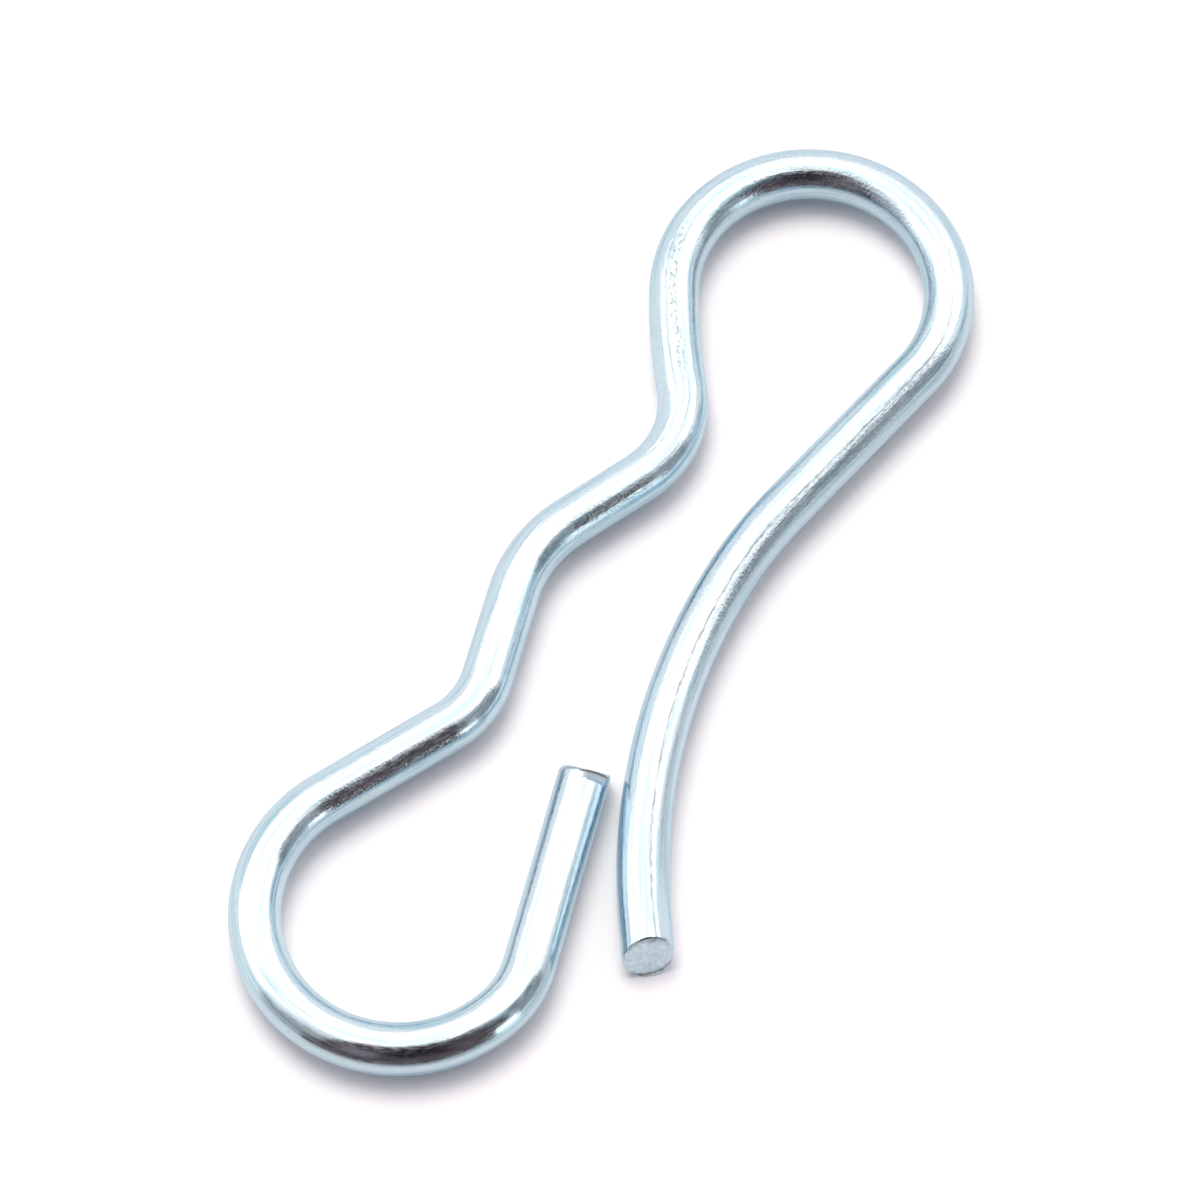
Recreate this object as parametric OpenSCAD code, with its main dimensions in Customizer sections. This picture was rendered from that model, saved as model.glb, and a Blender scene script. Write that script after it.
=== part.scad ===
// Bow tie cotter pin: one length of spring wire, bent in one plane and lying flat.
// Its tip hooks round, the back waves in to a saddle that sits against a shaft, the eye
// turns the wire about, and the leg goes through the shaft's cross hole.
// Lengths are in millimetres and turns are in degrees.

/* [Wire] */
// Diameter of the wire
wire_d = 3.05; // [2.5:0.05:3.7]
// Loss of diameter where the wire is drawn round a bend
bend_draw = 0.02; // [0.01:0.01:0.1]
// Straight land between one bend and the next
land = 0.2; // [0.1:0.1:1]
// Lean of both sheared ends from a square cut, upper edge set back
cut_lean = 22; // [0:1:30]

/* [Hook] */
// Straight tip of the hook, from its cut end to the first bend
tip_len = 12.7; // [9:0.1:15]
// Inside radius of the bend below the tip
tip_bend_r = 4.3; // [2.5:0.1:7]
// Turn of the bend below the tip
tip_bend_turn = 35.5; // [20:0.5:45]
// Inside radius of the round of the hook
hook_r = 6.8; // [5:0.1:8.5]
// Turn of the round of the hook
hook_turn = 187; // [175:0.5:200]

/* [Back] */
// Straight run from the hook's round to the lower bump
lower_run = 8.3; // [6:0.1:11]
// Inside radius of the lower bump
lower_bump_r = 3.9; // [2.5:0.1:6]
// Turn of the lower bump
lower_bump_turn = 42; // [30:0.5:50]
// Straight flank between the lower bump and the saddle's seat
lower_flank = 5.7; // [3:0.1:9]
// Inside radius of the saddle's seat
seat_r = 6.8; // [4:0.1:10]
// Turn of the saddle's seat
seat_turn = 39.5; // [30:0.5:50]
// Straight flank between the seat and the upper bump
upper_flank = 5.1; // [3:0.1:9]
// Inside radius of the upper bump
upper_bump_r = 4.7; // [2.5:0.1:7]
// Turn of the upper bump
upper_bump_turn = 63; // [50:0.5:70]
// Inside radius of the slow curve of the neck
neck_r = 38.5; // [25:0.5:60]
// Turn of the neck
neck_turn = 9; // [4:0.5:16]

/* [Eye] */
// Inside radius of the eye
eye_r = 6.8; // [5.5:0.1:8.5]

/* [Leg] */
// Straight run of the leg, from the eye to its bow
leg_run = 12; // [9:0.1:15]
// Inside radius of the first part of the leg's bow
upper_bow_r = 27.5; // [20:0.5:35]
// Turn of the first part of the bow
upper_bow_turn = 12.5; // [8:0.5:16]
// Inside radius of the second part of the bow
lower_bow_r = 35.5; // [28:0.5:43]
// Turn of the second part of the bow
lower_bow_turn = 34; // [29:0.5:38]
// Straight end of the leg, past its bow
leg_end_len = 2; // [1:0.1:4]
// Gap between the corner of the tip and the side of the leg
tip_gap = 0.75; // [0.2:0.05:3]

/* [Hidden] */
$fn = 96;

wire_r = wire_d / 2;

// Radius of the wire's middle line where the inside of the bend is known.
function middle(inside) = inside + wire_r;

// Wire past each end that the shearing cut takes off.
spare = wire_d;
// Reach of each bend into the straight wire at both its ends.
lap = 0.05;

// A pose is [x, y, heading] on the middle line.
// A stretch is [length, 0] where it is straight and [radius, turn] where it bends.
// A turn to the left is positive, for someone who walks along the wire from the tip.
// No two bends touch: there is straight wire between them.
BACK = [
    [tip_len, 0],
    [middle(tip_bend_r), -tip_bend_turn],
    [land, 0],
    [middle(hook_r), -hook_turn],
    [lower_run, 0],
    [middle(lower_bump_r), lower_bump_turn],
    [lower_flank, 0],
    [middle(seat_r), -seat_turn],
    [upper_flank, 0],
    [middle(upper_bump_r), upper_bump_turn],
    [land, 0],
    [middle(neck_r), -neck_turn],
    [land, 0]
];
HOOK_ROUND = 3;

function ahead(length, heading) = length * [cos(heading), sin(heading)];
function left(length, heading) = length * [-sin(heading), cos(heading)];
function place(pose) = [pose.x, pose.y];
function direction(v) = atan2(v.y, v.x);

// Centre of the bend that starts at a pose.
function bend_centre(pose, stretch) =
    place(pose) + left(sign(stretch[1]) * stretch[0], pose.z);

// Point a share of the way along a stretch.
function point_on(pose, stretch, share) =
    stretch[1] == 0
    ? place(pose) + ahead(share * stretch[0], pose.z)
    : bend_centre(pose, stretch)
        - left(sign(stretch[1]) * stretch[0], pose.z + share * stretch[1]);

function next_pose(pose, stretch) =
    [each point_on(pose, stretch, 1), pose.z + stretch[1]];

// The pose at the start of each stretch, and the one after the last.
function poses(start, stretches, n = 0) =
    n == len(stretches)
    ? [start]
    : concat([start], poses(next_pose(start, stretches[n]), stretches, n + 1));

back_poses = poses([0, 0, 0], BACK);
neck_end = back_poses[len(BACK)];

// The eye turns until the leg passes the tip's corner with tip_gap to spare.
// The leg's shape is fixed, so the centre of its lower bow is a fixed distance from
// the eye's, and those two centres and the corner form a triangle.
eye_mid = middle(eye_r);
upper_bow_mid = middle(upper_bow_r);
lower_bow_mid = middle(lower_bow_r);
bow_step = lower_bow_mid - upper_bow_mid;
eye_centre = place(neck_end) - left(eye_mid, neck_end.z);
eye_to_bow = [leg_run, eye_mid + upper_bow_mid]
    + left(bow_step, upper_bow_turn) + ahead(land, upper_bow_turn);
eye_to_corner = [0, wire_r] - eye_centre;
bow_to_corner = lower_bow_mid + wire_r + tip_gap;
corner_angle = acos(
    (norm(eye_to_corner) ^ 2 + norm(eye_to_bow) ^ 2 - bow_to_corner ^ 2)
    / (2 * norm(eye_to_corner) * norm(eye_to_bow)));
leg_heading = direction(eye_to_corner) + corner_angle - direction(eye_to_bow);
eye_turn = (neck_end.z - leg_heading + 720) % 360;

LEG = [
    [eye_mid, -eye_turn],
    [leg_run, 0],
    [upper_bow_mid, upper_bow_turn],
    [land, 0],
    [lower_bow_mid, lower_bow_turn],
    [leg_end_len, 0]
];

WIRE = concat(BACK, LEG);
LAST = len(WIRE) - 1;
wire_poses = poses([0, 0, 0], WIRE);
leg_end = wire_poses[LAST + 1];

// The finished pin lies along X, hook to eye, with the middle of its box at the origin.
hook_centre = bend_centre(back_poses[HOOK_ROUND], BACK[HOOK_ROUND]);
lie = -direction(eye_centre - hook_centre);
function turned(p) = [p.x * cos(lie) - p.y * sin(lie), p.x * sin(lie) + p.y * cos(lie)];
// Its box is found from both sides of the wire and from the rim of the leg's cut end.
STEPS = 180;
sides = [
    for (n = [0 : LAST], step = [0 : STEPS], side = [-wire_r, wire_r])
        point_on(wire_poses[n], WIRE[n], step / STEPS)
        + left(side, wire_poses[n].z + step / STEPS * WIRE[n][1])
];
leg_rim = [
    for (step = [0 : 2 * STEPS])
        place(leg_end) + left(wire_r * cos(step), leg_end.z)
        + ahead(wire_r * sin(step) * tan(cut_lean), leg_end.z)
];
outline = [for (p = concat(sides, leg_rim)) turned(p)];
xs = [for (p = outline) p.x];
ys = [for (p = outline) p.y];
box_middle = [max(xs) + min(xs), max(ys) + min(ys)] / 2;

// Straight wire from the origin along +X.
module straight(length) {
    rotate([0, 90, 0]) cylinder(h = length, d = wire_d);
}

// Straight wire from the origin along +X, sheared off at its far end.
module sheared(length) {
    difference() {
        straight(length + spare);
        translate([length, 0, 0]) rotate([0, -cut_lean, 0])
            translate([0, -wire_d, -2 * wire_d]) cube([3 * wire_d, 2 * wire_d, 4 * wire_d]);
    }
}

// Bent wire that starts at the origin along +X, with its lap at both ends.
module bend(radius, turn) {
    lap_turn = atan(lap / radius);
    start = turn > 0 ? -90 : 90 + turn;
    translate([0, sign(turn) * radius, 0]) rotate([0, 0, start - lap_turn])
        rotate_extrude(angle = abs(turn) + 2 * lap_turn)
        translate([radius, 0]) circle(d = wire_d - bend_draw);
}

// Puts what starts at the origin along +X at a pose.
module at(pose) {
    translate([pose.x, pose.y, 0]) rotate([0, 0, pose.z]) children();
}

module wire_pin() {
    color([0.78, 0.84, 0.90])
    translate([-box_middle.x, -box_middle.y, wire_r]) rotate([0, 0, lie])
    union() {
        at(wire_poses[1] + [0, 0, 180]) sheared(tip_len);
        for (n = [1 : LAST - 1]) at(wire_poses[n])
            if (WIRE[n][1] == 0) straight(WIRE[n][0]);
            else bend(WIRE[n][0], WIRE[n][1]);
        at(wire_poses[LAST]) sheared(leg_end_len);
    }
}

wire_pin();
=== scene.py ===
"""Bow tie cotter pin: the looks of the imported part, on a pale floor in soft studio light.

The wire's shape is worked out in millimetres and made in metres, in the CAD's frame.
"""

import math

import bpy
import numpy as np
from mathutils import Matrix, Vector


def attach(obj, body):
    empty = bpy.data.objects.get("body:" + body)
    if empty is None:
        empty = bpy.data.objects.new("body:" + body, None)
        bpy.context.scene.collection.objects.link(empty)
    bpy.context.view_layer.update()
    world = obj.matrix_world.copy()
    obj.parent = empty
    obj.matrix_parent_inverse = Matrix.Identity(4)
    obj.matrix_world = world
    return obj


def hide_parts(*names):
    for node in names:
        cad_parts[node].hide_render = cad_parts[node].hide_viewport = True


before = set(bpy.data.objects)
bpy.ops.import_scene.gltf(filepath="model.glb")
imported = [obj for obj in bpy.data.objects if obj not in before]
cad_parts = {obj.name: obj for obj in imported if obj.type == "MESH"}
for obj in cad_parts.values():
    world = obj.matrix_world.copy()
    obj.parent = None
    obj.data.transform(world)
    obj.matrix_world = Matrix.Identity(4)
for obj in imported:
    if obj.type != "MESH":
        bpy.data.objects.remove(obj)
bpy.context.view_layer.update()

MM = 0.001

# ---------------------------------------------------------------- the wire's route
# The same stretches as the CAD's, from the tip to the end of the leg. A stretch is
# (length, 0) where the wire is straight and (radius of its middle line, turn) where it
# bends, in millimetres and degrees. A turn to the left is positive.
WIRE_R = 1.525
TIP_END = (-10.2622, -1.97749)
TIP_HEADING = -163.791
STRETCHES = [
    (12.7, 0),  # tip
    (5.825, -35.5),  # tip bend
    (0.2, 0),
    (8.325, -187),  # round of the hook
    (8.3, 0),  # lower run
    (5.425, 42),  # lower bump
    (5.7, 0),  # lower flank
    (8.325, -39.5),  # seat
    (5.1, 0),  # upper flank
    (6.225, 63),  # upper bump
    (0.2, 0),
    (40.025, -9),  # neck
    (0.2, 0),
    (8.325, -220.993),  # eye
    (12, 0),  # straight of the leg
    (29.025, 12.5),  # upper part of the bow
    (0.2, 0),
    (37.025, 34),  # lower part of the bow
    (2, 0),  # end of the leg
]


def stretch_length(stretch):
    """The middle line's length over a stretch."""
    size, turn = stretch
    return size if turn == 0 else size * math.radians(abs(turn))


STARTS = np.concatenate([[0], np.cumsum([stretch_length(s) for s in STRETCHES])])
WIRE_LENGTH = STARTS[-1]


def route(s):
    """Middle line and heading (radians) at each distance s from the tip's cut end."""
    s = np.asarray(s, float)
    x, y, heading = np.zeros_like(s), np.zeros_like(s), np.zeros_like(s)
    at_x, at_y = TIP_END
    at_heading = math.radians(TIP_HEADING)
    for n, (size, turn) in enumerate(STRETCHES):
        length = STARTS[n + 1] - STARTS[n]
        first, last = n == 0, n == len(STRETCHES) - 1
        here = (s >= STARTS[n] if not first else s > -np.inf) & (
            s < STARTS[n + 1] if not last else s < np.inf
        )
        d = s[here] - STARTS[n]
        if turn == 0:
            x[here] = at_x + d * math.cos(at_heading)
            y[here] = at_y + d * math.sin(at_heading)
            heading[here] = at_heading
            at_x += length * math.cos(at_heading)
            at_y += length * math.sin(at_heading)
        else:
            r = math.copysign(size, turn)
            centre_x = at_x - r * math.sin(at_heading)
            centre_y = at_y + r * math.cos(at_heading)
            h = at_heading + d / r
            x[here] = centre_x + r * np.sin(h)
            y[here] = centre_y - r * np.cos(h)
            heading[here] = h
            at_heading += length / r
            at_x = centre_x + r * math.sin(at_heading)
            at_y = centre_y - r * math.cos(at_heading)
    return x, y, heading


# ---------------------------------------------------------------- the wire's mesh
AROUND = 72
STATION_STEP = 0.17
END_REACH = 3.0  # how far from an end the mesh still leans with the cut
PLAIN_FROM = 0.8  # distance from an end where the evenly spaced stations start
# Distances from an end of the stations that shape its rounded edge.
END_STATIONS = np.array([0, 0.02, 0.05, 0.09, 0.14, 0.2, 0.28, 0.38, 0.5, 0.64])
# Shares of the wire's radius at the rings of an end face, from the rim inwards.
RINGS = np.array([0.975, 0.93, 0.87, 0.79, 0.7, 0.6, 0.5, 0.4, 0.3, 0.2, 0.1])
around = np.linspace(0, 2 * math.pi, AROUND, endpoint=False)
middle_count = int(WIRE_LENGTH / STATION_STEP)
stations = np.concatenate(
    [
        END_STATIONS,
        np.linspace(PLAIN_FROM, WIRE_LENGTH - PLAIN_FROM, middle_count),
        WIRE_LENGTH - END_STATIONS[::-1],
    ]
)


def place(s, across, up):
    """Points at distance s, across to the left of the wire and up from its middle line."""
    x, y, heading = route(s)
    return np.stack(
        [x - across * np.sin(heading), y + across * np.cos(heading), WIRE_R + up], -1
    )


def hump(angle, centre, width):
    """1 at an angle round the wire and 0 from width degrees away, smooth between."""
    away = np.abs((np.degrees(angle) - centre + 180) % 360 - 180)
    return np.cos(np.clip(away / width, 0, 1) * math.pi / 2) ** 2


# Lean of the shear's cut at each end, upper edge set back, as a slope up the wire and a
# slope across it, and how much of the wire it took off.
TIP_CUT = (0.42, 0.0, 0.17)
LEG_CUT = (0.31, 0.1, 0.0)


# How the shear left each end, in millimetres, over the angle round the wire in degrees.
# Roll is how far the edge is drawn back, and burr how far it stands out.
def tip_roll(angle):
    return 0.3 * hump(angle, 165, 60) + 0.16 * hump(angle, 10, 45)


def tip_burr(angle):
    return 0.06 * hump(angle, 70, 25) + 0.03 * hump(angle, 100, 12)


def leg_roll(angle):
    return 0.05 * hump(angle, 90, 90)


def leg_burr(angle):
    notch = hump(angle, 245, 12)
    return (0.07 * hump(angle, 262, 75) + 0.06 * hump(angle, 285, 30)) * (1 - 0.8 * notch)


# The blade pressed a small flat on the top of the tip: its length, the angle that it
# faces, and the share of the wire's radius at which it lies.
FLAT_LENGTH = 0.76
FLAT_ANGLE = 55
FLAT_SHARE = 0.88

# The edges of both ends are rounded over this length, and lose this much radius.
EDGE_LENGTH = 0.25
EDGE_LOSS = 0.06

# Each end face has its own torn grain: how far its waves stand out, how many there are,
# and the seed that they are drawn from.
TORN_HEIGHT = 0.004
TORN_WAVES = 14
TIP_SEED = 3
LEG_SEED = 5

# Rub marks that the bending tools left: distance from the tip, angle round the wire in
# degrees, and how much they show. The first two are lines and the third is a dotted band.
LONG_RUB = [
    (1.2, 78, 0), (1.6, 78, 0.35), (12, 77, 0.35), (14, 76, 0), (27, 85, 0),
    (27.6, 83, 0.5), (31.5, 72, 0.3), (32.3, 70, 0), (55, 100, 0), (55.8, 100, 0.35),
    (64.5, 99, 0.35), (65.4, 98, 0), (73, 97, 0), (73.6, 98, 0.6), (79, 104, 0.5),
    (79.6, 98, 0), (105.6, 110, 0), (106.4, 109, 0.5), (108.6, 105, 0.4), (109, 104, 0),
    (109.6, 82, 0), (110, 82, 0.6), (112.6, 86, 0.5), (114.4, 80, 0.8), (120, 75, 1),
    (130, 75, 1), (145, 76, 1), (150, 75, 0.9), (158, 72, 0.8), (160.6, 71, 0.6),
]
SHORT_RUB = [
    (73, 80, 0), (73.6, 80, 0.5), (78, 79, 0.5), (79.5, 72, 0.6), (82, 69, 0.6),
    (88, 70, 0.6), (91, 69, 0.3), (92.5, 68, 0), (104, 92, 0), (104.6, 90, 0.3),
    (106.4, 88, 0.4), (107, 86, 0), (110, 102, 0), (110.4, 102, 0.4), (113, 99, 0.4),
    (113.5, 98, 0), (150, 100, 0), (153, 99, 0.25), (159, 98, 0.35), (160.6, 98, 0.3),
]
DOTTED_RUB = [
    (56, 96, 0), (58, 96, 0.3), (63, 96, 0.3), (65, 96, 0), (78.5, 96, 0), (80.3, 94, 1),
    (84, 88, 1), (88, 84, 1), (90.5, 90, 0.5), (91.5, 92, 0), (115, 78, 0), (117, 75, 0.6),
    (131, 73, 0.6), (134, 72, 0.4), (146, 72, 0.3), (150, 71, 0),
]

# How coarse the plate is over the wire's length, where the tools pressed it and where not.
COARSENESS = [
    (0, 0.5), (12, 0.4), (15, 0.2), (38, 0.2), (44, 0.65), (54, 0.4), (64, 0.4), (67, 1),
    (74, 0.9), (80, 0.9), (96, 1.15), (134, 1.1), (148, 0.5), (160.6, 0.35),
]


def skin_radius(s_from_tip, s_from_leg, angle):
    """The wire's radius, with the rounded edges of its ends and the tip's small flat."""
    from_end = np.minimum(s_from_tip, s_from_leg)
    radius = WIRE_R - EDGE_LOSS * np.clip(1 - from_end / EDGE_LENGTH, 0, 1) ** 2
    lean = np.cos(np.clip(angle - math.radians(FLAT_ANGLE), -1, 1))
    flat = np.where(s_from_tip < FLAT_LENGTH, FLAT_SHARE * WIRE_R / lean, WIRE_R)
    return np.minimum(radius, flat)


def face_height(share, angle, roll, burr, seed):
    """How far a point of an end face stands out from its plane of cut."""
    rim = np.clip((share - 0.72) / 0.28, 0, 1)
    lip = np.clip((share - 0.9) / 0.1, 0, 1)
    height = burr(angle) * lip - roll(angle) * rim**2
    chance = np.random.RandomState(seed)
    x, y = share * np.cos(angle), share * np.sin(angle)
    for _ in range(TORN_WAVES):
        way, pitch, phase = chance.uniform(0, 2 * math.pi, 3) * (1, 2.2, 1)
        height = height + TORN_HEIGHT * np.sin(
            (4 + pitch) * (x * math.cos(way) + y * math.sin(way)) + phase
        )
    return height


def note(mesh, name, values):
    """Keeps one number or one vector for each point of a mesh, for its material."""
    kind, field = ("FLOAT", "value") if values.ndim == 1 else ("FLOAT_VECTOR", "vector")
    made = mesh.attributes.new(name, kind, "POINT")
    made.data.foreach_set(field, values.astype(np.float32).ravel())


def set_back(cut, across, up):
    """How far the plane of a cut lies back along the wire."""
    return cut[0] * up + cut[1] * across + cut[2]


def wire_mesh(name):
    """The bent wire as one closed skin, with its two sheared end faces."""
    s, angle = np.meshgrid(stations, around, indexing="ij")
    radius = skin_radius(s, WIRE_LENGTH - s, angle)
    from_rim = np.minimum(s, WIRE_LENGTH - s)
    near_tip = np.clip(1 - s / END_REACH, 0, 1)
    near_leg = np.clip(1 - (WIRE_LENGTH - s) / END_REACH, 0, 1)
    across, up = WIRE_R * np.cos(angle), WIRE_R * np.sin(angle)
    tip_edge = set_back(TIP_CUT, across, up) - face_height(1.0, angle, tip_roll, tip_burr, TIP_SEED)
    leg_edge = set_back(LEG_CUT, across, up) - face_height(1.0, angle, leg_roll, leg_burr, LEG_SEED)
    s = s + tip_edge * near_tip - leg_edge * near_leg
    points = [place(s, radius * np.cos(angle), radius * np.sin(angle)).reshape(-1, 3)]
    flat = [
        np.stack([s, WIRE_R * np.cos(angle), WIRE_R * np.sin(angle)], -1).reshape(-1, 3)
    ]
    cut = [np.zeros(s.size)]
    rim = [from_rim.ravel()]
    index = np.arange(s.size).reshape(s.shape)
    after = np.roll(index, -1, axis=1)
    faces = np.stack([index[:-1], index[1:], after[1:], after[:-1]], -1)
    polygons = [faces.reshape(-1, 4)]
    triangles = []
    made = s.size
    ends = (
        (0, 1, 0.0, TIP_CUT, tip_roll, tip_burr, TIP_SEED),
        (-1, -1, WIRE_LENGTH, LEG_CUT, leg_roll, leg_burr, LEG_SEED),
    )
    for end, inward, middle, plane, roll, burr, seed in ends:
        outer = index[end]
        for share in RINGS:
            r = radius[end] * share
            across, up = r * np.cos(around), r * np.sin(around)
            height = face_height(share, around, roll, burr, seed)
            here = middle + inward * (set_back(plane, across, up) - height)
            points.append(place(here, across, up))
            flat.append(np.stack([here, across, up], -1))
            cut.append(np.ones(AROUND))
            rim.append(np.full(AROUND, WIRE_R * (1 - share)))
            inner = made + np.arange(AROUND)
            made += AROUND
            quad = np.stack([outer, np.roll(outer, -1), np.roll(inner, -1), inner], -1)
            polygons.append(quad if end == 0 else quad[:, ::-1])
            outer = inner
        middle = middle + inward * plane[2]
        points.append(place([middle], np.zeros(1), np.zeros(1)))
        flat.append(np.array([[middle, 0, 0]]))
        cut.append(np.ones(1))
        rim.append(np.full(1, WIRE_R))
        fan = np.stack([outer, np.roll(outer, -1), np.full(AROUND, made)], -1)
        triangles.append(fan if end == 0 else fan[:, ::-1])
        made += 1
    mesh = bpy.data.meshes.new(name)
    mesh.from_pydata(
        (np.concatenate(points) * MM).tolist(),
        [],
        np.concatenate(polygons).tolist() + np.concatenate(triangles).tolist(),
    )
    flat = np.concatenate(flat)
    note(mesh, "straightened", flat)
    note(mesh, "cut_face", np.concatenate(cut))
    note(mesh, "from_rim", np.concatenate(rim))
    turn = np.degrees(np.arctan2(flat[:, 2], flat[:, 1]))
    rubs = [np.array(rub) for rub in (LONG_RUB, SHORT_RUB, DOTTED_RUB)]
    off_rub = [turn - np.interp(flat[:, 0], rub[:, 0], rub[:, 1]) for rub in rubs]
    note(mesh, "off_rub", np.stack(off_rub, -1))
    wear = [np.interp(flat[:, 0], rub[:, 0], rub[:, 2]) for rub in rubs]
    note(mesh, "rub_wear", np.stack(wear, -1))
    coarse = np.array(COARSENESS)
    note(mesh, "coarseness", np.interp(flat[:, 0], coarse[:, 0], coarse[:, 1]))
    mesh.polygons.foreach_set("use_smooth", [True] * len(mesh.polygons))
    ends_of_edges = np.zeros(2 * len(mesh.edges), np.int32)
    mesh.edges.foreach_get("vertices", ends_of_edges)
    rims = np.isin(ends_of_edges.reshape(-1, 2), [index[0], index[-1]]).all(1)
    mesh.edges.foreach_set("use_edge_sharp", rims.tolist())
    mesh.update()
    return mesh


# ---------------------------------------------------------------- node helpers
def add(tree, kind, inputs=None, **settings):
    """A new node. inputs maps a socket's name or number to a value or another output."""
    made = tree.nodes.new(kind)
    for name, value in settings.items():
        setattr(made, name, value)
    for name, value in (inputs or {}).items():
        if isinstance(value, bpy.types.NodeSocket):
            tree.links.new(value, made.inputs[name])
        else:
            made.inputs[name].default_value = value
    return made


def calc(tree, operation, a, b=0.0):
    """The output of a Math node."""
    return add(tree, "ShaderNodeMath", {0: a, 1: b}, operation=operation).outputs[0]


def ramp(tree, value, low, high, start=0.0, end=1.0, kind="SMOOTHSTEP"):
    """start below low, end above high, and smooth between them."""
    sockets = {"Value": value, "From Min": low, "From Max": high, "To Min": start, "To Max": end}
    return add(tree, "ShaderNodeMapRange", sockets, interpolation_type=kind).outputs[0]


def mix(tree, share, a, b):
    """Colour a, going over to colour b as share rises from 0 to 1."""
    sockets = {0: share, 6: a, 7: b}
    return add(tree, "ShaderNodeMix", sockets, data_type="RGBA").outputs[2]


def product(tree, *values):
    """All the values multiplied together."""
    found = values[0]
    for value in values[1:]:
        found = calc(tree, "MULTIPLY", found, value)
    return found


def cleared(item):
    """The node tree of a new material or world, emptied."""
    item.use_nodes = True
    item.node_tree.nodes.clear()
    return item.node_tree


# ---------------------------------------------------------------- zinc
# Colours are what the metal mirrors, as linear red, green, blue and 1.
PLATE = (0.6, 0.73, 0.83, 1)
PLATE_SPECKLE = (0.46, 0.6, 0.7, 1)
PLATE_STREAK = (0.38, 0.57, 0.68, 1)
PLATE_EDGE_ON = (0.8, 0.87, 0.94, 1)
RUBBED = (0.17, 0.2, 0.23, 1)
DULL_FLAT = (0.31, 0.4, 0.48, 1)
TORN_DARK = (0.55, 0.68, 0.8, 1)
TORN_LIGHT = (0.74, 0.86, 0.98, 1)
STAIN = (0.13, 0.11, 0.11, 1)
# Half widths of the two lines and the dotted band, in degrees round the wire.
LONG_HALF_WIDTH = 2.2
SHORT_HALF_WIDTH = 1.7
DOTTED_CORE = 5
DOTTED_EDGE = 15
HAZE_EDGE = 15
RELIEF_DEPTH = 0.000018  # metres
# The plate blurs what it mirrors across the wire, and hardly along it.
CLEAR_GLOSS = 0.08
HAZY_GLOSS = 0.24
BLUR_ACROSS = 0.75
QUARTER_TURN = 0.25


def noise(tree, vector, stretch, scale, detail=3.0, rough=0.6):
    """A noise pattern that is stretched along the wire, from 0 to 1."""
    laid = add(tree, "ShaderNodeMapping", {"Vector": vector, "Scale": (stretch, 1, 1)})
    sockets = {"Vector": laid.outputs[0], "Scale": scale, "Detail": detail, "Roughness": rough}
    return add(tree, "ShaderNodeTexNoise", sockets).outputs[0]


def noted(tree, name, output="Fac"):
    """What note() kept under a name."""
    return add(tree, "ShaderNodeAttribute", attribute_name=name).outputs[output]


def between(tree, value, low, high, soft):
    """1 between low and high, and 0 from soft beyond them."""
    rise = ramp(tree, value, low - soft, low + soft)
    return product(tree, rise, ramp(tree, value, high - soft, high + soft, 1.0, 0.0))


def rub_marks(tree, straight):
    """Ragged lines, their haze, and a dotted band, where the tools rubbed the wire."""
    off = add(tree, "ShaderNodeSeparateXYZ", {0: noted(tree, "off_rub", "Vector")}).outputs
    wear = add(tree, "ShaderNodeSeparateXYZ", {0: noted(tree, "rub_wear", "Vector")}).outputs
    ragged = ramp(tree, noise(tree, straight, 0.35, 3.5, 3.0, 0.6), 0, 1, -5, 5, "LINEAR")
    patchy = ramp(tree, noise(tree, straight, 0.3, 4.0, 2.0, 0.6), 0.35, 0.6, 0.5, 1.0)
    marks = []
    for n, half_width in ((0, LONG_HALF_WIDTH), (1, SHORT_HALF_WIDTH)):
        away = calc(tree, "ABSOLUTE", calc(tree, "ADD", off[n], ragged))
        line = ramp(tree, away, half_width * 0.4, half_width * 1.6, 1.0, 0.0)
        marks.append(product(tree, line, patchy, wear[n]))
    dots = ramp(tree, noise(tree, straight, 0.5, 6.5, 3.0, 0.7), 0.48, 0.64)
    band = ramp(tree, calc(tree, "ABSOLUTE", off[2]), DOTTED_CORE, DOTTED_EDGE, 1.0, 0.0)
    marks.append(product(tree, band, dots, wear[2], 0.95))
    haze = ramp(tree, calc(tree, "ABSOLUTE", off[0]), 0, HAZE_EDGE, 0.3, 0.0)
    marks.append(product(tree, haze, wear[0], patchy))
    found = marks[0]
    for mark in marks[1:]:
        found = calc(tree, "MAXIMUM", found, mark)
    return found


def relief_of(tree, straight, grain, torn, coarse, marks, on_cut):
    """The bump of the plate and of the torn end faces."""
    draw_lines = noise(tree, straight, 0.04, 5.0)
    swell = noise(tree, straight, 0.3, 0.6, 1.0, 0.5)
    height = calc(tree, "ADD", product(tree, draw_lines, 0.8), product(tree, grain, 0.9))
    height = product(tree, height, coarse)
    height = calc(tree, "ADD", height, product(tree, swell, 2.0))
    height = calc(tree, "SUBTRACT", height, product(tree, marks, 0.6))
    height = calc(tree, "ADD", height, product(tree, torn, on_cut, 2.6))
    sockets = {"Height": height, "Distance": RELIEF_DEPTH}
    return add(tree, "ShaderNodeBump", sockets).outputs[0]


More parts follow.
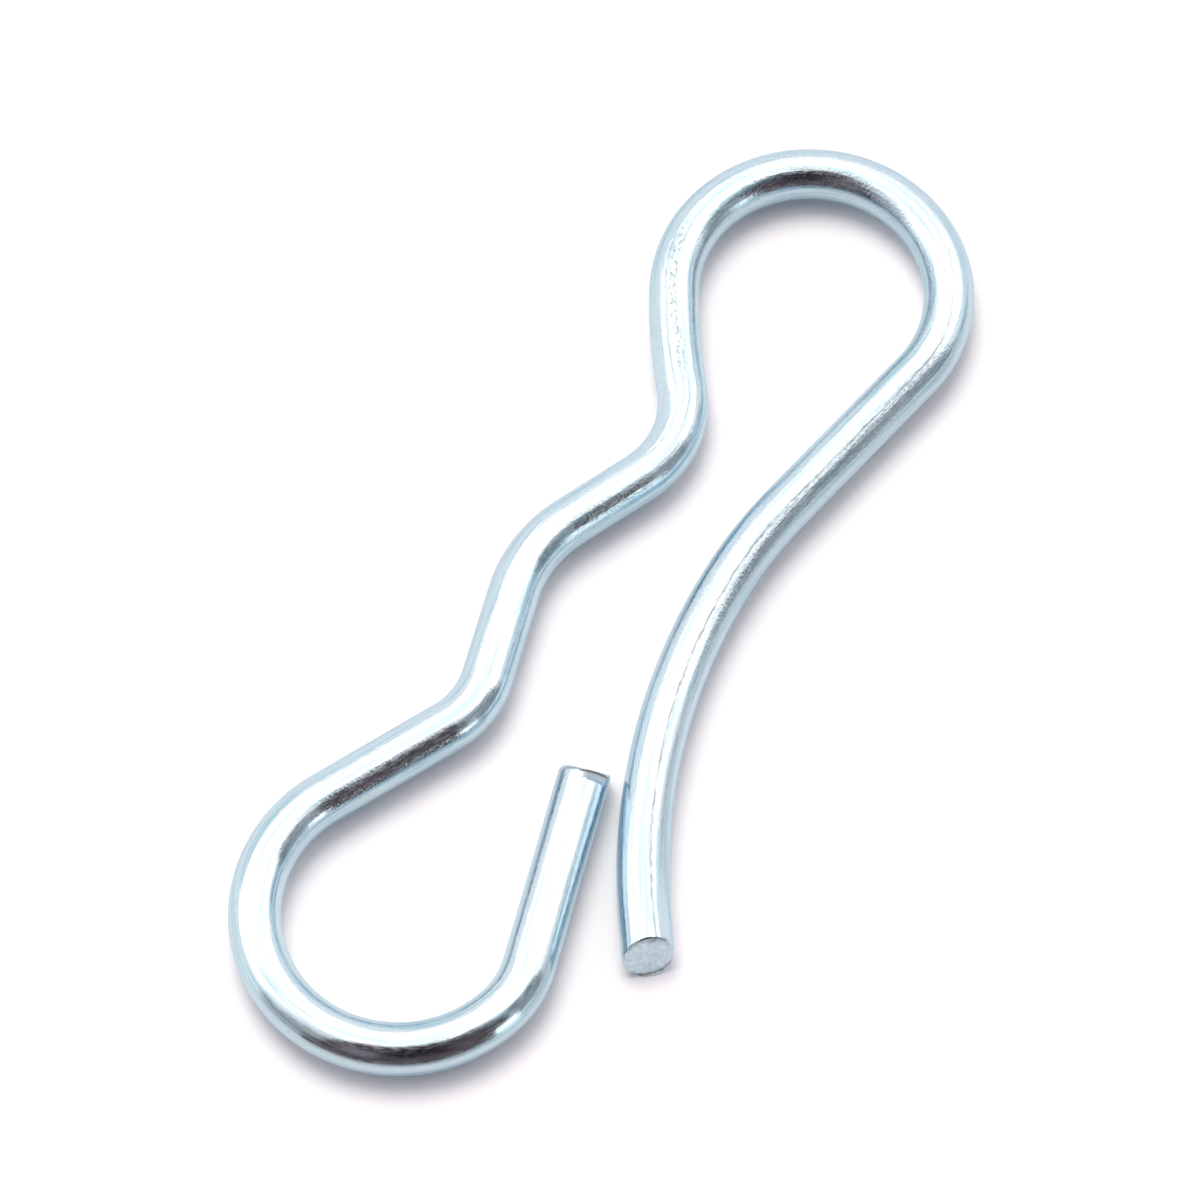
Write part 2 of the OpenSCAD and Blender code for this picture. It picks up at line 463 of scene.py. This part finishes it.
def rim_stain(tree, angle, from_rim, torn, at_tip):
    """How far the rims of the end faces are stained, darkest where the blade came through."""
    rough_rim = calc(tree, "ADD", from_rim, ramp(tree, torn, 0.3, 0.7, -0.05, 0.05, "LINEAR"))
    rough_rim = calc(tree, "SUBTRACT", rough_rim, product(tree, at_tip, 0.07))
    rim = ramp(tree, rough_rim, 0.05, 0.12, 1.0, 0.0)
    on_tip = ramp(tree, between(tree, angle, 22, 96, 8), 0, 1, 0.3, 1.0)
    upper_left = between(tree, angle, 105, 165, 10)
    upper_right = product(tree, between(tree, angle, 15, 80, 15), 0.5)
    lower = product(tree, between(tree, angle, -150, -25, 12), 1.2)
    on_leg = calc(tree, "ADD", calc(tree, "ADD", upper_left, upper_right), lower)
    at_leg = calc(tree, "SUBTRACT", 1.0, at_tip)
    stain = calc(
        tree, "ADD", product(tree, at_tip, on_tip), product(tree, at_leg, on_leg, 0.25)
    )
    return product(tree, rim, stain, 0.85)


def zinc_material():
    """Bright zinc plate over drawn wire, with rub marks, and sheared ends."""
    material = bpy.data.materials.new("zinc")
    tree = cleared(material)
    straight = noted(tree, "straightened", "Vector")
    on_cut = noted(tree, "cut_face")
    from_rim = noted(tree, "from_rim")
    coarse = noted(tree, "coarseness")
    along, across, up = add(tree, "ShaderNodeSeparateXYZ", {0: straight}).outputs
    angle = calc(tree, "DEGREES", calc(tree, "ARCTAN2", up, across))
    at_tip = ramp(tree, along, 20, 21, 1.0, 0.0)
    marks = rub_marks(tree, straight)
    grain = noise(tree, straight, 1.1, 4.8, 3.0, 0.6)
    torn = noise(tree, straight, 1.0, 3.0, 4.0, 0.65)

    streak = ramp(tree, noise(tree, straight, 0.03, 3.5, 3.0, 0.6), 0.47, 0.66, 0.0, 0.9)
    speckle = product(tree, ramp(tree, grain, 0.35, 0.65, 1.0, 0.0), coarse, 0.35)
    colour = mix(tree, speckle, PLATE, PLATE_SPECKLE)
    colour = mix(tree, streak, colour, PLATE_STREAK)
    colour = mix(tree, product(tree, marks, 0.82), colour, RUBBED)
    # The blade's small flat is dulled.
    near_edge = ramp(tree, from_rim, 0.66, 0.74, 1.0, 0.0)
    on_flat = product(tree, at_tip, near_edge, between(tree, angle, 25, 88, 1.5))
    colour = mix(tree, product(tree, on_flat, 0.9), colour, DULL_FLAT)
    face = mix(tree, ramp(tree, torn, 0.35, 0.65), TORN_DARK, TORN_LIGHT)
    colour = mix(tree, on_cut, colour, face)
    colour = mix(tree, rim_stain(tree, angle, from_rim, torn, at_tip), colour, STAIN)

    # Clear and hazy streaks lie too close together to be seen apart.
    fine = noise(tree, straight, 0.12, 16.0, 1.0)
    gloss = ramp(tree, fine, 0.42, 0.62, CLEAR_GLOSS, HAZY_GLOSS)
    gloss = calc(tree, "ADD", gloss, product(tree, coarse, 0.02))
    gloss = calc(tree, "ADD", gloss, product(tree, on_cut, 0.25))
    gloss = calc(tree, "ADD", gloss, product(tree, on_flat, 0.25))
    tangent = add(tree, "ShaderNodeTangent", direction_type="UV_MAP", uv_map="OFBake")
    surface = add(
        tree,
        "ShaderNodeBsdfPrincipled",
        {
            "Base Color": colour,
            "Metallic": 1.0,
            "Roughness": gloss,
            "Anisotropic": ramp(tree, on_cut, 0.0, 1.0, BLUR_ACROSS, 0.0, "LINEAR"),
            "Specular Tint": PLATE_EDGE_ON,
            "Anisotropic Rotation": QUARTER_TURN,
            "Normal": relief_of(tree, straight, grain, torn, coarse, marks, on_cut),
            "Tangent": tangent.outputs[0],
        },
    ).outputs[0]
    add(tree, "ShaderNodeOutputMaterial", {"Surface": surface})
    return material


def unwrap(mesh):
    """One map for the whole piece: the skin in rows of strips, and the two end faces."""
    rows = 5
    row_length = WIRE_LENGTH / rows
    straight = np.zeros(len(mesh.vertices) * 3, np.float32)
    mesh.attributes["straightened"].data.foreach_get("vector", straight)
    straight = straight.reshape(-1, 3)
    on_cut = np.zeros(len(mesh.vertices), np.float32)
    mesh.attributes["cut_face"].data.foreach_get("value", on_cut)
    layer = mesh.uv_layers.new(name="OFBake")
    uv = np.zeros((len(mesh.loops), 2), np.float32)
    girth = 2 * math.pi * WIRE_R
    gap = 0.4
    span = row_length + 4 * gap
    # The end faces lie side by side above the rows.
    height = rows * (girth + gap) + 2 * WIRE_R + 2 * gap
    size = max(span, height)
    for polygon in mesh.polygons:
        corners = list(polygon.vertices)
        p = straight[corners]
        if on_cut[corners].max() > 0:
            first = p[:, 0].mean() < WIRE_LENGTH / 2
            centre_x = 3 * WIRE_R * (1 if first else 2)
            uv[polygon.loop_indices, 0] = centre_x + p[:, 1]
            uv[polygon.loop_indices, 1] = rows * (girth + gap) + WIRE_R + gap + p[:, 2]
            continue
        angle = np.arctan2(p[:, 2], p[:, 1]) % (2 * math.pi)
        if angle.max() - angle.min() > math.pi:
            angle[angle < math.pi] += 2 * math.pi
        row = min(int(max(p[:, 0].mean(), 0) / row_length), rows - 1)
        uv[polygon.loop_indices, 0] = p[:, 0] - row * row_length + 2 * gap
        uv[polygon.loop_indices, 1] = row * (girth + gap) + angle * WIRE_R
    layer.data.foreach_set("uv", (uv / size).ravel())


# ---------------------------------------------------------------- light
# Bearings are from the camera's side and positive to its right, and zenith angles are
# from straight up, all in degrees.
CAMERA_PLACE = (-0.105049, -0.060108, 0.262829)
CAMERA_TARGET = (-0.000133, 0.003245, 0.0)
LENS = 146.99
TOWARDS_CAMERA = math.degrees(
    math.atan2(CAMERA_PLACE[1] - CAMERA_TARGET[1], CAMERA_PLACE[0] - CAMERA_TARGET[0])
)


# What the room shows where the overhead light isn't: its nearest and furthest zenith
# angle, its left and right bearing, how soft its edges are, and its colour.
GREY_WALLS = [
    (40, 97, -57, -42, 2, 3, (0.5, 0.49, 0.48, 1)),
    (49, 97, -65, -55, 2, 3, (0.48, 0.47, 0.46, 1)),
    (62, 97, -74, -63, 2, 3, (0.5, 0.49, 0.48, 1)),
    (34, 84, 58, 78, 5, 6, (0.37, 0.37, 0.37, 1)),
    (40, 86, 74, 92, 5, 4, (0.33, 0.33, 0.34, 1)),
    (76, 97, 90, 112, 4, 4, (0.6, 0.6, 0.6, 1)),
]
# The last of these is the one small light among the camera's dark things.
CAMERA_SIDE = [
    (16, 60, -8, 26, 4, 4, (0.03, 0.018, 0.02, 1)),
    (40, 70, -32, -14, 4, 4, (0.25, 0.19, 0.2, 1)),
    (66, 92, -49, -38, 3, 2, (0.1, 0.07, 0.08, 1)),
    (71, 92, 46.5, 61, 1, 1, (2.0, 1.95, 1.85, 1)),
]
ROOM = (1.05, 1.03, 1.01, 1)
OVERHEAD = (2.1, 1.85, 1.7, 1)
CAMERA_DARK = (0.12, 0.08, 0.085, 1)
WHITE = (1, 1, 1, 1)
FLOOR_FILL = (0.6, 0.63, 0.75, 1)


def studio_world():
    """A white room with a wide soft light overhead and the dark of the camera's side."""
    world = bpy.data.worlds.new("studio")
    bpy.context.scene.world = world
    tree = cleared(world)
    direction = add(tree, "ShaderNodeTexCoord").outputs["Generated"]
    turned = add(
        tree,
        "ShaderNodeVectorRotate",
        {"Vector": direction, "Angle": math.radians(-90 - TOWARDS_CAMERA)},
        rotation_type="Z_AXIS",
    ).outputs[0]
    x, y, z = add(tree, "ShaderNodeSeparateXYZ", {0: turned}).outputs
    zenith = calc(tree, "DEGREES", calc(tree, "ARCCOSINE", z))
    bearing = calc(tree, "DEGREES", calc(tree, "ARCTAN2", x, product(tree, y, -1.0)))

    def patched(glow, patches):
        for near, far, left, right, soft, side_soft, colour in patches:
            share = product(
                tree,
                between(tree, zenith, near, far, soft),
                between(tree, bearing, left, right, side_soft),
            )
            glow = mix(tree, share, glow, colour)
        return glow

    # The overhead light is a rectangle, seen on a level plane one unit up.
    level = calc(tree, "MAXIMUM", z, 0.01)
    plane_x = calc(tree, "DIVIDE", x, level)
    plane_y = calc(tree, "DIVIDE", y, level)
    plane_y = calc(tree, "SUBTRACT", plane_y, product(tree, plane_x, 0.08))
    overhead = product(
        tree, between(tree, plane_x, -2.8, 1.9, 0.3), between(tree, plane_y, -0.17, 1.3, 0.12)
    )
    glow = patched(mix(tree, overhead, ROOM, OVERHEAD), GREY_WALLS)
    # The overhead light reaches further down towards the right.
    below = calc(tree, "SUBTRACT", zenith, ramp(tree, bearing, 25, 52, 0.0, 8.0))
    dark = product(tree, ramp(tree, below, 9, 12), between(tree, bearing, -43, 58, 3))
    glow = patched(mix(tree, dark, glow, CAMERA_DARK), CAMERA_SIDE)
    path = add(tree, "ShaderNodeLightPath").outputs
    glow = mix(tree, path["Is Camera Ray"], glow, WHITE)
    # What falls on the floor is bluer and weaker than what the metal mirrors.
    fill = add(
        tree,
        "ShaderNodeMix",
        {0: 1.0, 6: glow, 7: FLOOR_FILL},
        data_type="RGBA",
        blend_type="MULTIPLY",
    ).outputs[2]
    glow = mix(tree, path["Is Diffuse Ray"], glow, fill)
    background = add(tree, "ShaderNodeBackground", {"Color": glow, "Strength": 1.0})
    add(tree, "ShaderNodeOutputWorld", {"Surface": background.outputs[0]})


def main_light():
    """A broad lamp from the far left, which throws the soft shadow."""
    lamp = bpy.data.lights.new("key", "SUN")
    lamp.energy = 1.45
    lamp.angle = math.radians(34)
    lamp.color = (1.0, 0.98, 0.9)
    key = bpy.data.objects.new("key", lamp)
    bpy.context.scene.collection.objects.link(key)
    bearing, zenith = -163, 27
    key.rotation_euler = (
        math.radians(zenith),
        0,
        math.radians(TOWARDS_CAMERA + bearing) + math.pi / 2,
    )
    key.visible_glossy = False


# The floor's paint in the metal's reflections, and the light that it gives of itself.
FLOOR_MIRRORED = (0.62, 0.6, 0.53, 1)
FLOOR_LIFT = (0.02, 0.02, 0.02, 1)
FLOOR_LIFT_MIRRORED = (0.33, 0.35, 0.37, 1)
FLOOR_DROP = 0.00002  # metres below the pin, so that no two faces share a plane


def floor_piece():
    """A pale floor that shows white where nothing shades it."""
    size = 2.0
    mesh = bpy.data.meshes.new("floor")
    corners = [(-size, -size, 0), (size, -size, 0), (size, size, 0), (-size, size, 0)]
    mesh.from_pydata(corners, [], [(0, 1, 2, 3)])
    floor = bpy.data.objects.new("floor", mesh)
    floor.location.z = -FLOOR_DROP
    bpy.context.scene.collection.objects.link(floor)
    material = bpy.data.materials.new("floor")
    tree = cleared(material)
    path = add(tree, "ShaderNodeLightPath").outputs
    mirrored = path["Is Glossy Ray"]
    seen = calc(tree, "MAXIMUM", path["Is Camera Ray"], mirrored)
    seen = calc(tree, "MAXIMUM", seen, path["Is Transmission Ray"])
    # The metal mirrors a floor with paler shadows, and with a sheen at a low angle.
    tone = mix(tree, mirrored, WHITE, FLOOR_MIRRORED)
    paint = add(tree, "ShaderNodeBsdfDiffuse", {"Color": tone}).outputs[0]
    lift = mix(tree, mirrored, FLOOR_LIFT, FLOOR_LIFT_MIRRORED)
    lift = add(tree, "ShaderNodeEmission", {"Color": lift, "Strength": seen}).outputs[0]
    plain = add(tree, "ShaderNodeAddShader", {0: paint, 1: lift}).outputs[0]
    sheen = add(tree, "ShaderNodeBsdfAnisotropic", {"Color": WHITE, "Roughness": 0.15})
    low = product(tree, mirrored, add(tree, "ShaderNodeFresnel", {"IOR": 1.5}).outputs[0])
    sockets = {0: low, 1: plain, 2: sheen.outputs[0]}
    surface = add(tree, "ShaderNodeMixShader", sockets).outputs[0]
    add(tree, "ShaderNodeOutputMaterial", {"Surface": surface})
    mesh.materials.append(material)


def camera():
    """The photograph's view: from above the camera's side, with a long lens."""
    lens = bpy.data.cameras.new("camera")
    lens.lens = LENS
    lens.sensor_width = 36
    item = bpy.data.objects.new("camera", lens)
    bpy.context.scene.collection.objects.link(item)
    item.location = CAMERA_PLACE
    aim = Vector(CAMERA_TARGET) - Vector(CAMERA_PLACE)
    item.rotation_euler = aim.to_track_quat("-Z", "Y").to_euler()
    bpy.context.scene.camera = item


camera()
studio_world()
main_light()
floor_piece()

pin_mesh = wire_mesh("bent_wire")
unwrap(pin_mesh)
pin_mesh.materials.append(zinc_material())
pin = bpy.data.objects.new("bent_wire", pin_mesh)
bpy.context.scene.collection.objects.link(pin)
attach(pin, "root")
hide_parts("wire_pin")

bpy.context.scene.view_settings.view_transform = "Standard"
